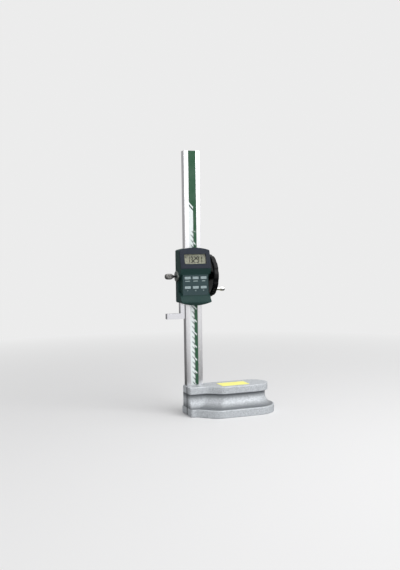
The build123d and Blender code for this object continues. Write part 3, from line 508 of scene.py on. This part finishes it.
# %% Spinning a section
def spin_section(points, centre, steps=96):
    """Spin (radius, x) points, in millimetres, about a line along X through centre."""
    shape = bmesh.new()
    at = Vector(centre) * MM
    verts = [shape.verts.new(at + Vector((x, radius, 0)) * MM) for radius, x in points]
    for first, second in zip(verts, verts[1:]):
        shape.edges.new((first, second))
    bmesh.ops.spin(shape, geom=shape.verts[:] + shape.edges[:], cent=at, axis=(1, 0, 0),
                   angle=2 * math.pi, steps=steps, use_merge=True)
    bmesh.ops.remove_doubles(shape, verts=shape.verts, dist=0.001 * MM)
    bmesh.ops.recalc_face_normals(shape, faces=shape.faces)
    return shape


def rounded_path(corners, radius, steps=4):
    """Replace each inner corner of a path by an arc."""
    path = [corners[0]]
    for before, corner, after in zip(corners, corners[1:], corners[2:]):
        corner = Vector(corner)
        legs = [Vector(other) - corner for other in (before, after)]
        reach = min([radius] + [leg.length * 0.45 for leg in legs])
        start, end = [corner + leg.normalized() * reach for leg in legs]
        for step in range(steps + 1):
            t = step / steps
            path.append(tuple(start * (1 - t) ** 2 + corner * 2 * t * (1 - t) + end * t * t))
    return path + [corners[-1]]


# %% [markdown]
# The hand wheel has a thick rim, a thin web and a hub. Twelve scallops in the rim give the
# fingers a hold. Cutting them with a Boolean would leave a ragged seam and hard edges, so
# they are pressed in instead: each point of the rim moves inwards until it lies outside
# twelve imagined fingers, with a soft lip where finger meets rim.

# %% The hand wheel
SHAFT_Y, SHAFT_Z = 13.85, 273.0
WHEEL_RADIUS, RIM_INNER, RIM_FACE, RIM_BACK = 42.2, 34.2, 46.5, 36.5
FINGERS, FINGER_RADIUS, FINGER_DEPTH, LIP = 12, 11.0, 1.4, 0.5

WHEEL_SECTION = [(3.0, 31.6), (8.0, 31.6), (10.0, 38.7), (12.0, 39.7), (32.2, 39.7),
                 (RIM_INNER, 37.7), (RIM_INNER + 0.8, RIM_BACK), (40.7, RIM_BACK),
                 (WHEEL_RADIUS, 38.0), (WHEEL_RADIUS, 45.0), (40.7, RIM_FACE),
                 (RIM_INNER + 0.8, RIM_FACE), (RIM_INNER, 45.3), (32.2, 43.3), (12.0, 43.3),
                 (9.0, 44.8), (8.0, 45.0), (3.0, 45.0), (3.0, 31.6)]


def press_fingers(shape):
    """Move the rim's points inwards, out of the way of each finger."""
    centre = WHEEL_RADIUS - FINGER_DEPTH + FINGER_RADIUS
    for vert in shape.verts:
        y, z = vert.co.y / MM - SHAFT_Y, vert.co.z / MM - SHAFT_Z
        radius = math.hypot(y, z)
        if radius < RIM_INNER + 3:
            continue
        turn = math.atan2(z, y) / (2 * math.pi) * FINGERS - 0.5
        offset = (turn - round(turn)) * 2 * math.pi / FINGERS
        inside = FINGER_RADIUS ** 2 - (centre * math.sin(offset)) ** 2
        if inside <= 0:
            continue
        limit = centre * math.cos(offset) - math.sqrt(inside)
        wall = WHEEL_RADIUS - radius                 # keeps the rim's own rounding
        gap = (WHEEL_RADIUS - limit) / LIP
        drop = LIP * math.log1p(math.exp(gap)) if gap < 30 else WHEEL_RADIUS - limit
        scale = (radius - min(drop, FINGER_DEPTH) * max(0.0, 1 - wall / 6)) / radius
        vert.co.y = (SHAFT_Y + y * scale) * MM
        vert.co.z = (SHAFT_Z + z * scale) * MM


def hand_wheel():
    shape = spin_section(rounded_path(WHEEL_SECTION, 1.2), (0, SHAFT_Y, SHAFT_Z), steps=240)
    press_fingers(shape)
    mesh = to_mesh(shape, "hand_wheel")
    return add_piece("hand_wheel", mesh, wheel_plastic, "wheel", ["handwheel"])


print("wheel faces:", len(hand_wheel().data.polygons))

# %% [markdown]
# The crank handle is a small turned knob, slim beside the wheel so that a finger can hook
# behind it. It spins on a pin with a domed head. Both are spun from a rounded path, the knob
# with large arcs, because a turner would cut it in one smooth sweep.

# %% The crank knob and its pin
CRANK_RADIUS, CRANK_TURN = 35, math.radians(228)
CRANK_Y = SHAFT_Y + CRANK_RADIUS * math.cos(CRANK_TURN)
CRANK_Z = SHAFT_Z + CRANK_RADIUS * math.sin(CRANK_TURN)

KNOB_SECTION = [(2.05, 46.8), (3.2, 46.8), (3.48, 47.8), (2.92, 50.3), (3.3, 53.3),
                (4.46, 57.3), (4.7, 60.3), (4.4, 62.6), (3.67, 64.1), (3.5, 64.1),
                (3.5, 62.8), (2.05, 62.8), (2.05, 46.8)]
PIN_SECTION = [(0, 39.5), (2.0, 39.5), (2.0, 63.1), (3.2, 63.1), (3.2, 64.0), (2.6, 64.5),
               (0, 64.5)]


def turned_piece(name, section, y, z, finish, body, nodes, radius=0.5, steps=64):
    shape = spin_section(rounded_path(section, radius), (0, y, z), steps)
    return add_piece(name, to_mesh(shape, name), finish, body, nodes)


turned_piece("crank_handle", KNOB_SECTION, CRANK_Y, CRANK_Z, turned_steel, "crank",
             ["crank_knob"], radius=2.0)
turned_piece("crank_axle", PIN_SECTION, CRANK_Y, CRANK_Z, turned_steel, "wheel",
             ["crank_pin"])

# %% [markdown]
# The clamp knob has a straight knurl between two rounded ends. A bump map would leave its
# outline smooth, and the outline is what shows against a pale wall. So the knob is spun with
# four points to each groove, and the points of its waist move in along a wave.

# %% The clamp screw
CLAMP_Z, KNOB_X, KNOB_LENGTH = 273.0, -56.4, 15.8
KNURLS, KNURL_DEPTH, WAIST_RADIUS = 36, 0.3, 5.3

GRIP_SECTION = [(0, 0), (2.2, 0), (3.9, 0.8), (5.0, 2.3), (5.55, 4.2), (5.7, 5.6), (5.7, 11.2),
                (5.4, 12.9), (4.5, 14.7), (3.2, 15.8), (0, 15.8)]


def clamp_grip():
    path = [(r, x + KNOB_X) for r, x in rounded_path(GRIP_SECTION, 0.5)]
    shape = spin_section(path, (0, 0, CLAMP_Z), steps=KNURLS * 4)
    for vert in shape.verts:
        y, z = vert.co.y, vert.co.z - CLAMP_Z * MM
        depth = math.hypot(y, z) / MM
        along = vert.co.x / MM - KNOB_X
        if depth > WAIST_RADIUS and 2.0 < along < KNOB_LENGTH - 1.0:
            turn = math.atan2(z, y) / (2 * math.pi) * KNURLS
            groove = 0.5 + 0.5 * math.cos(2 * math.pi * turn)
            scale = 1 - groove * KNURL_DEPTH / depth
            vert.co.y, vert.co.z = y * scale, CLAMP_Z * MM + z * scale
    mesh = to_mesh(shape, "clamp_grip", 60)
    return add_piece("clamp_grip", mesh, knob_steel, "clamp_screw", ["clamp_knob"])


print("clamp knob faces:", len(clamp_grip().data.polygons))

# %% [markdown]
# Six socket screws show at the back of the base. An inset face whose points are moved onto a
# hexagon and which is then pushed down makes the socket, and a bevel domes the head. The head
# is made once at the origin, facing up, and turned into place with its shank, which is easier
# than thinking in the screw's own direction.

# %% Socket screws
def socket_head(radius, height, socket, depth):
    """A button head at the origin that faces +Z, with a hexagonal socket."""
    shape = bmesh.new()
    bmesh.ops.create_circle(shape, cap_ends=True, segments=48, radius=radius)
    wall = bmesh.ops.extrude_face_region(shape, geom=shape.faces[:])
    top = [item for item in wall["geom"] if isinstance(item, bmesh.types.BMFace)]
    bmesh.ops.translate(shape, vec=(0, 0, height), verts=top[0].verts[:])
    bmesh.ops.bevel(shape, geom=top[0].edges[:], offset=height * 0.8, affect="EDGES", segments=6,
                    profile=0.5, material=-1)
    flat = max(shape.faces, key=lambda face: (round(face.calc_center_median().z, 7),
                                              face.calc_area()))
    bmesh.ops.inset_region(shape, faces=[flat], thickness=radius * 0.1)
    for vert in flat.verts:
        turn = math.atan2(vert.co.y, vert.co.x)
        side = math.pi / 6 - abs((turn % (math.pi / 3)) - math.pi / 6)
        reach = socket / 2 / math.cos(math.pi / 6 - side)
        vert.co.x, vert.co.y = reach * math.cos(turn), reach * math.sin(turn)
    well = bmesh.ops.extrude_face_region(shape, geom=[flat])
    bmesh.ops.delete(shape, geom=[flat], context="FACES_ONLY")
    floor = [item for item in well["geom"] if isinstance(item, bmesh.types.BMFace)]
    bmesh.ops.translate(shape, vec=(0, 0, -depth), verts=floor[0].verts[:])
    bmesh.ops.recalc_face_normals(shape, faces=shape.faces)
    return shape


def screw_set(name, places, facing, shank, radius, height, socket, finish, body, nodes):
    """All alike screws of one node in one piece; shank is its radius and length."""
    whole = bmesh.new()
    for place in places:
        shape = socket_head(radius * MM, height * MM, socket * MM, height * 0.6 * MM)
        bmesh.ops.create_cone(shape, cap_ends=True, segments=24, radius1=shank[0] * MM,
                              radius2=shank[0] * MM, depth=shank[1] * MM,
                              matrix=Matrix.Translation((0, 0, -shank[1] / 2 * MM)))
        turn = Vector((0, 0, 1)).rotation_difference(Vector(facing)).to_matrix().to_4x4()
        shape.transform(Matrix.Translation(Vector(place) * MM) @ turn)
        part = bpy.data.meshes.new("screw")
        shape.to_mesh(part)
        shape.free()
        whole.from_mesh(part)
        bpy.data.meshes.remove(part)
    return add_piece(name, to_mesh(whole, name), finish, body, nodes)


BLOCK_PLACES = [(x, 0.0 if x > 16 else 11.0, z) for x in (-11, 11, 29) for z in (28, 46)]
screw_set("block_screws", BLOCK_PLACES, (0, 1, 0), (2.5, 13.9), 4.7, 2.7, 3.0, black_steel,
          "stand", ["clamp_block_screws"])

# %% [markdown]
# The keys are soft caps in a printed film. Each starts as a cube and gets round corners
# seen from the front and a softer edge where the finger lands, and its face is dished
# a little. An inset could start the dish, but on so low a face it folds over itself, so
# the face is copied, drawn in and pushed back. Each key rides on a body of its own.

# %% The keys
KEY_ROWS, KEY_PITCH, KEY_SIZE = (270.0, 251.4), 16.5, (12.4, 5.2)
KEY_FACE, KEY_BACK, FILM_FACE = -20.4, -16.2, -19.5
KEY_CORNER, KEY_EDGE = 0.9, 0.45
DISH_SHARE, DISH_DEPTH = (0.88, 0.66), 0.12


def key_cap(name, x, z):
    shape = bmesh.new()
    size = Vector((KEY_SIZE[0], KEY_BACK - KEY_FACE, KEY_SIZE[1])) * MM
    matrix = Matrix.Translation(Vector((x, (KEY_BACK + KEY_FACE) / 2, z)) * MM)
    bmesh.ops.create_cube(shape, size=1.0, matrix=matrix @ Matrix.Diagonal((*size, 1)))
    upright = [e for e in shape.edges if abs((e.verts[0].co - e.verts[1].co).y) > 1 * MM]
    bmesh.ops.bevel(shape, geom=upright, offset=KEY_CORNER * MM, affect="EDGES", segments=5,
                    profile=0.5, material=-1)
    front = min(shape.faces, key=lambda face: face.calc_center_median().y)
    bmesh.ops.bevel(shape, geom=front.edges[:], offset=KEY_EDGE * MM, affect="EDGES", segments=4,
                    profile=0.5, material=-1)
    front = min(shape.faces, key=lambda face: (round(face.calc_center_median().y, 7),
                                               -face.calc_area()))
    dish = bmesh.ops.extrude_face_region(shape, geom=[front])
    bmesh.ops.delete(shape, geom=[front], context="FACES_ONLY")
    for vert in [item for item in dish["geom"] if isinstance(item, bmesh.types.BMVert)]:
        vert.co.x = (x + (vert.co.x / MM - x) * DISH_SHARE[0]) * MM
        vert.co.z = (z + (vert.co.z / MM - z) * DISH_SHARE[1]) * MM
        vert.co.y += DISH_DEPTH * MM
    bmesh.ops.recalc_face_normals(shape, faces=shape.faces)
    return add_piece(name + "_cap", to_mesh(shape, name, 50), key_plastic, name,
                     [name])


key_places = [(column * KEY_PITCH, z) for z in KEY_ROWS for column in (-1, 0, 1)]
for number, (x, z) in enumerate(key_places, 1):
    key_cap(f"key_{number}", x, z)
print("keys:", len(key_places))

# %% [markdown]
# Under each key of the upper row is a short printed bar, and under each of the lower row a
# small sign. They are print, so they are thin flat shapes laid on the film. They are drawn
# on a flat sheet first, given a thickness there, and turned to face the reader last.

# %% Printed legends
def flat_shape(name, outlines, finish, body, place, thick=0.04):
    """Thin print: closed outlines in millimetres on a plane that place turns and moves."""
    shape = bmesh.new()
    for outline in outlines:
        verts = [shape.verts.new((u * MM, v * MM, 0)) for u, v in outline]
        shape.faces.new(verts)
    bmesh.ops.recalc_face_normals(shape, faces=shape.faces)
    top = bmesh.ops.extrude_face_region(shape, geom=shape.faces[:])
    lifted = [item for item in top["geom"] if isinstance(item, bmesh.types.BMVert)]
    bmesh.ops.translate(shape, vec=(0, 0, thick * MM), verts=lifted)
    bmesh.ops.recalc_face_normals(shape, faces=shape.faces)
    shape.transform(place)
    return add_piece(name, to_mesh(shape, name), finish, body)


def bar(x, z, width, height):
    half_w, half_h = width / 2, height / 2
    return [(x - half_w, z - half_h), (x + half_w, z - half_h), (x + half_w, z + half_h),
            (x - half_w, z + half_h)]


FRONT = Matrix.Rotation(math.radians(90), 4, "X")       # drawing plane turned to face -Y
film_plane = Matrix.Translation((0, FILM_FACE * MM, 0)) @ FRONT
BAR_Z, SIGN_Z = KEY_ROWS[0] - 6.2, KEY_ROWS[1] - 6.0
minus = [bar(-KEY_PITCH, SIGN_Z, 2.6, 0.8)]
divide = [bar(0, SIGN_Z, 2.4, 0.7), bar(0, SIGN_Z - 1.2, 0.7, 0.9), bar(0, SIGN_Z + 1.1, 0.7, 0.9)]
arrow = [[(KEY_PITCH - 1.2, SIGN_Z + 0.8), (KEY_PITCH, SIGN_Z - 1.2),
          (KEY_PITCH + 1.2, SIGN_Z + 0.8)]]
legends = [bar(x, BAR_Z, width, 1.3)
           for x, width in ((-KEY_PITCH, 9.6), (0, 9.2), (KEY_PITCH, 7.0))]
legends += minus + divide + arrow
flat_shape("key_legends", legends, legend_finish, "slider", film_plane)
print("printed legends:", len(legends))

# %% [markdown]
# The display shows a reading. Its digits are the seven slim bars that every such panel has,
# each with pointed ends, leaning a few degrees. A font of such digits would have to be
# shipped with the file, and seven bars are quickly drawn. The number is the height of the
# measuring face above the top of the base, in millimetres. It stays as it is when the slider
# moves, because a mesh can't count.

# %% The reading
TILT, SCREEN_Z, BROW_Y, BROW_Z = math.radians(15), 307.0, -25.5, 288.5
READING = "132.91"
SEGMENTS = {"0": "abcdef", "1": "bc", "2": "abged", "3": "abgcd", "4": "fgbc", "5": "afgcd",
            "6": "afgedc", "7": "abc", "8": "abcdefg", "9": "abcdfg"}
DIGIT_W, DIGIT_H, STROKE, LEAN, ADVANCE = 4.0, 11.2, 2.1, 0.07, 6.3
FIRST_DIGIT, BASE_LINE, END_GAP, PANEL_INSET = -15.7, -6.3, 0.16, 2.99


def segment(u0, v0, u1, v1, stroke):
    """A bar with pointed ends between two points."""
    start, end = Vector((u0, v0)), Vector((u1, v1))
    along = (end - start).normalized()
    across = Vector((-along.y, along.x)) * stroke / 2
    tip = along * stroke / 2
    start, end = start + along * END_GAP, end - along * END_GAP
    ring = (start, start + tip - across, end - tip - across, end, end - tip + across,
            start + tip + across)
    return [tuple(point) for point in ring]


def digit(figure, u):
    """The bars of one figure whose lower left corner is at (u, 0)."""
    w, h = DIGIT_W, DIGIT_H
    ends = {"a": (0, h, w, h), "b": (w, h, w, h / 2), "c": (w, h / 2, w, 0), "d": (0, 0, w, 0),
            "e": (0, h / 2, 0, 0), "f": (0, h, 0, h / 2), "g": (0, h / 2, w, h / 2)}
    bars = [segment(*ends[letter], STROKE) for letter in SEGMENTS[figure]]
    return [[(u + x + LEAN * y, y) for x, y in outline] for outline in bars]


def reading_bars(text, start, base):
    outlines, u = [], start
    for figure in text:
        if figure == ".":
            outlines.append(bar(u - 1.05, -0.35, 0.85, 0.85))
            continue
        outlines += digit(figure, u)
        u += ADVANCE
    return [[(x, y + base) for x, y in outline] for outline in outlines]


lean_out = Vector((0, -math.cos(TILT), math.sin(TILT)))
panel_middle = Vector((0, BROW_Y + (SCREEN_Z - BROW_Z) * math.tan(TILT), SCREEN_Z))
panel_plane = (Matrix.Translation((panel_middle - lean_out * PANEL_INSET) * MM)
               @ Matrix.Rotation(math.radians(90) - TILT, 4, "X"))
flags = [bar(-19.0, 5.2, 3.2, 0.8), bar(-19.0, 3.6, 0.9, 1.8)]      # a small sign at the left
figures = reading_bars(READING, FIRST_DIGIT, BASE_LINE)
flat_shape("reading", figures + flags, segment_ink, "slider", panel_plane, thick=0.03)
print("bars of the reading:", len(figures))

# %% [markdown]
# Every piece that is left keeps its own mesh and only needs its finish. Most of them are
# hidden inside the slider or seen end on, so a copy with rounded edges would show nothing.
# The list pairs each node with a finish, and the last line names any that was forgotten,
# which would show in plain grey.

# %% Finishes for the pieces that keep their shape
KEPT = {
    "rack": rack_steel, "scale_strip": scale_print, "gib_strip": brass, "gib_screws": black_steel,
    "shaft_bushes": bronze, "housing_screws": zinc_steel, "display_window": window_finish,
    "lcd_panel": lcd_finish, "keypad_panel": film_finish, "circuit_board": board_finish,
    "sensor_board": board_finish, "battery": zinc_steel, "arm_screws": black_steel,
    "clamp_pad": brass, "clamp_stud": black_steel, "pinion_shaft": rack_steel,
    "wheel_screw": turned_steel,
}
for node, finish in KEPT.items():
    piece = frame["nodes"][node]
    piece.data.materials.clear()
    piece.data.materials.append(finish.material)
dressed = {node for node, *_ in ROUNDED} | set(KEPT)
print("nodes still plain:", sorted(n for n, o in frame["nodes"].items()
                                    if n not in dressed and not o.hide_render))

# %% [markdown]
# The stage is a plain pale floor, a pale surround and soft light. Far from the gauge the floor
# fades into the surround, so that no horizon cuts the picture, and near it the floor keeps
# the gauge's shadow. Polished steel is as bright as what it mirrors, so the floor that it
# sees is set apart: bright in front, dim behind, and dimmest close by, like a bench that is
# darker than the room. The Light Path node tells the rays from the camera and the rays from a
# mirror apart.

# %% Floor
SURROUND = 0.84                      # what the camera sees behind the gauge
FLOOR_RADIUS = 9.0                   # metres, as are the distances of the fades


def stage_floor():
    shape = bmesh.new()
    bmesh.ops.create_circle(shape, cap_ends=True, segments=96, radius=FLOOR_RADIUS)
    mesh = to_mesh(shape, "floor")
    floor = bpy.data.objects.new("floor", mesh)
    bpy.context.scene.collection.objects.link(floor)
    finish = Finish("pale floor", (0.86, 0.86, 0.865), 0.8, Specular_IOR_Level=0.1)
    spread = finish.node("ShaderNodeVectorMath", {"operation": "LENGTH"}, {0: finish.place()},
                         out=1)
    camera = finish.node("ShaderNodeLightPath")              # its first socket: Is Camera Ray
    glossy = Value(finish, camera.socket.node.outputs["Is Glossy Ray"])
    far = (finish.range(spread, 0.3, 1.5, 0.0, 1.0) * camera).math("MAXIMUM", glossy)
    behind = finish.range(finish.axes()[1], -1000.0, 1000.0, 0.9, 0.2)
    near = finish.range(spread, 0.2, 1.25, 0.08, 1.0)
    strength = glossy * (behind * near - SURROUND) + SURROUND
    glow = finish.node("ShaderNodeEmission", sockets={"Color": (1, 1, 1, 1), "Strength": strength})
    plain = Value(finish, finish.shader.outputs[0])
    blend = finish.node("ShaderNodeMixShader", sockets={0: far, 1: plain, 2: glow})
    out = finish.tree.nodes["Material Output"]
    finish.tree.links.new(blend.socket, out.inputs["Surface"])
    mesh.materials.append(finish.material)


stage_floor()

# %% [markdown]
# A real studio is bright in front and overhead, where the lamps are, and dim behind the
# gauge. One lamp could light it, but bare steel would then be black with one white spot. So
# the world gives light from all round, more of it from the bright side, with stronger values
# for what steel mirrors than for what fills the shadows. Two large soft boxes add the shape
# of the highlights, and only the camera sees an even surround.

# %% World and lamps
BRIGHT_SIDE = Vector((0.50, -0.72, 0.48)).normalized()


def studio_world(dim, bright, mirror_dim, mirror_bright):
    """Light that grows from the dim side to the bright side, for fills and for mirrors."""
    world = bpy.data.worlds.new("studio")
    bpy.context.scene.world = world
    world.use_nodes = True
    tree = world.node_tree
    tree.nodes.clear()

    def node(kind, operation=None, links=(), **values):
        made = tree.nodes.new(kind)
        if operation:
            made.operation = operation
        for index, value in values.items():
            made.inputs[int(index[1:])].default_value = value
        for index, socket in links:
            tree.links.new(socket, made.inputs[index])
        return made

    way = node("ShaderNodeTexCoord").outputs["Generated"]
    facing = node("ShaderNodeVectorMath", "DOT_PRODUCT", [(0, way)], _1=BRIGHT_SIDE)
    facing = facing.outputs["Value"]
    fill = node("ShaderNodeMapRange", None, [(0, facing)], _1=-1.0, _2=1.0, _3=dim, _4=bright)
    mirror = node("ShaderNodeMapRange", None, [(0, facing)], _1=-0.7, _2=0.8, _3=mirror_dim,
                  _4=mirror_bright)
    path = node("ShaderNodeLightPath").outputs
    shiny = node("ShaderNodeMath", "MAXIMUM", [(0, path["Is Glossy Ray"]),
                                               (1, path["Is Transmission Ray"])])
    lit = node("ShaderNodeMix", None, [(0, shiny.outputs[0]), (2, fill.outputs[0]),
                                       (3, mirror.outputs[0])])
    seen = node("ShaderNodeMix", None, [(0, path["Is Camera Ray"]), (2, lit.outputs[0])],
                _3=SURROUND)
    light = node("ShaderNodeBackground", None, [(1, seen.outputs[0])], _0=(1, 1, 1, 1))
    node("ShaderNodeOutputWorld", None, [(0, light.outputs[0])])


def soft_lamp(name, place, target, size, power):
    """A square soft box at place that faces target, both in metres."""
    lamp = bpy.data.lights.new(name, "AREA")
    lamp.shape, lamp.size, lamp.energy = "SQUARE", size, power
    holder = bpy.data.objects.new(name, lamp)
    bpy.context.scene.collection.objects.link(holder)
    holder.location = place
    holder.rotation_euler = (Vector(target) - Vector(place)).to_track_quat("-Z", "Y").to_euler()


AIM = (0.0, 0.0, 0.2)                # metres, about the middle of the lower column
studio_world(dim=0.34, bright=0.52, mirror_dim=0.42, mirror_bright=1.0)
soft_lamp("front box", (0.7, -1.35, 1.35), AIM, size=1.7, power=21)
soft_lamp("top box", (0.3, -0.2, 2.0), AIM, size=1.2, power=9)

# %% [markdown]
# The camera stands a metre and a half away, to the left of the display and a little above
# its middle, and looks almost level. Its place and lens come from the known size of the
# scale's centimetres, so the gauge sits in the picture as it would in a shop's portrait.

# %% Camera
YAW, PITCH, ROLL = math.radians(20.435), math.radians(2.60), math.radians(-0.82)
CAMERA_PLACE = (-0.4925, -1.3656, 0.3210)
FOCAL, LONG_SIDE, SENSOR = 735.2, 570.0, 36.0        # pixels, pixels, millimetres


def portrait_camera():
    data = bpy.data.cameras.new("portrait")
    data.sensor_width, data.sensor_fit = SENSOR, "AUTO"
    data.lens = FOCAL / LONG_SIDE * SENSOR
    data.clip_start, data.clip_end = 0.05, 50.0
    camera = bpy.data.objects.new("portrait", data)
    bpy.context.scene.collection.objects.link(camera)
    forward = Vector((math.sin(YAW) * math.cos(PITCH), math.cos(YAW) * math.cos(PITCH),
                      -math.sin(PITCH)))
    right = Vector((math.cos(YAW), -math.sin(YAW), 0.0))
    up = right.cross(forward)
    turned_right = right * math.cos(ROLL) + up * math.sin(ROLL)
    turned_up = up * math.cos(ROLL) - right * math.sin(ROLL)
    basis = Matrix((turned_right, turned_up, -forward)).transposed().to_4x4()
    camera.matrix_world = Matrix.Translation(CAMERA_PLACE) @ basis
    bpy.context.scene.camera = camera


portrait_camera()
bpy.context.scene.view_settings.view_transform = "Standard"
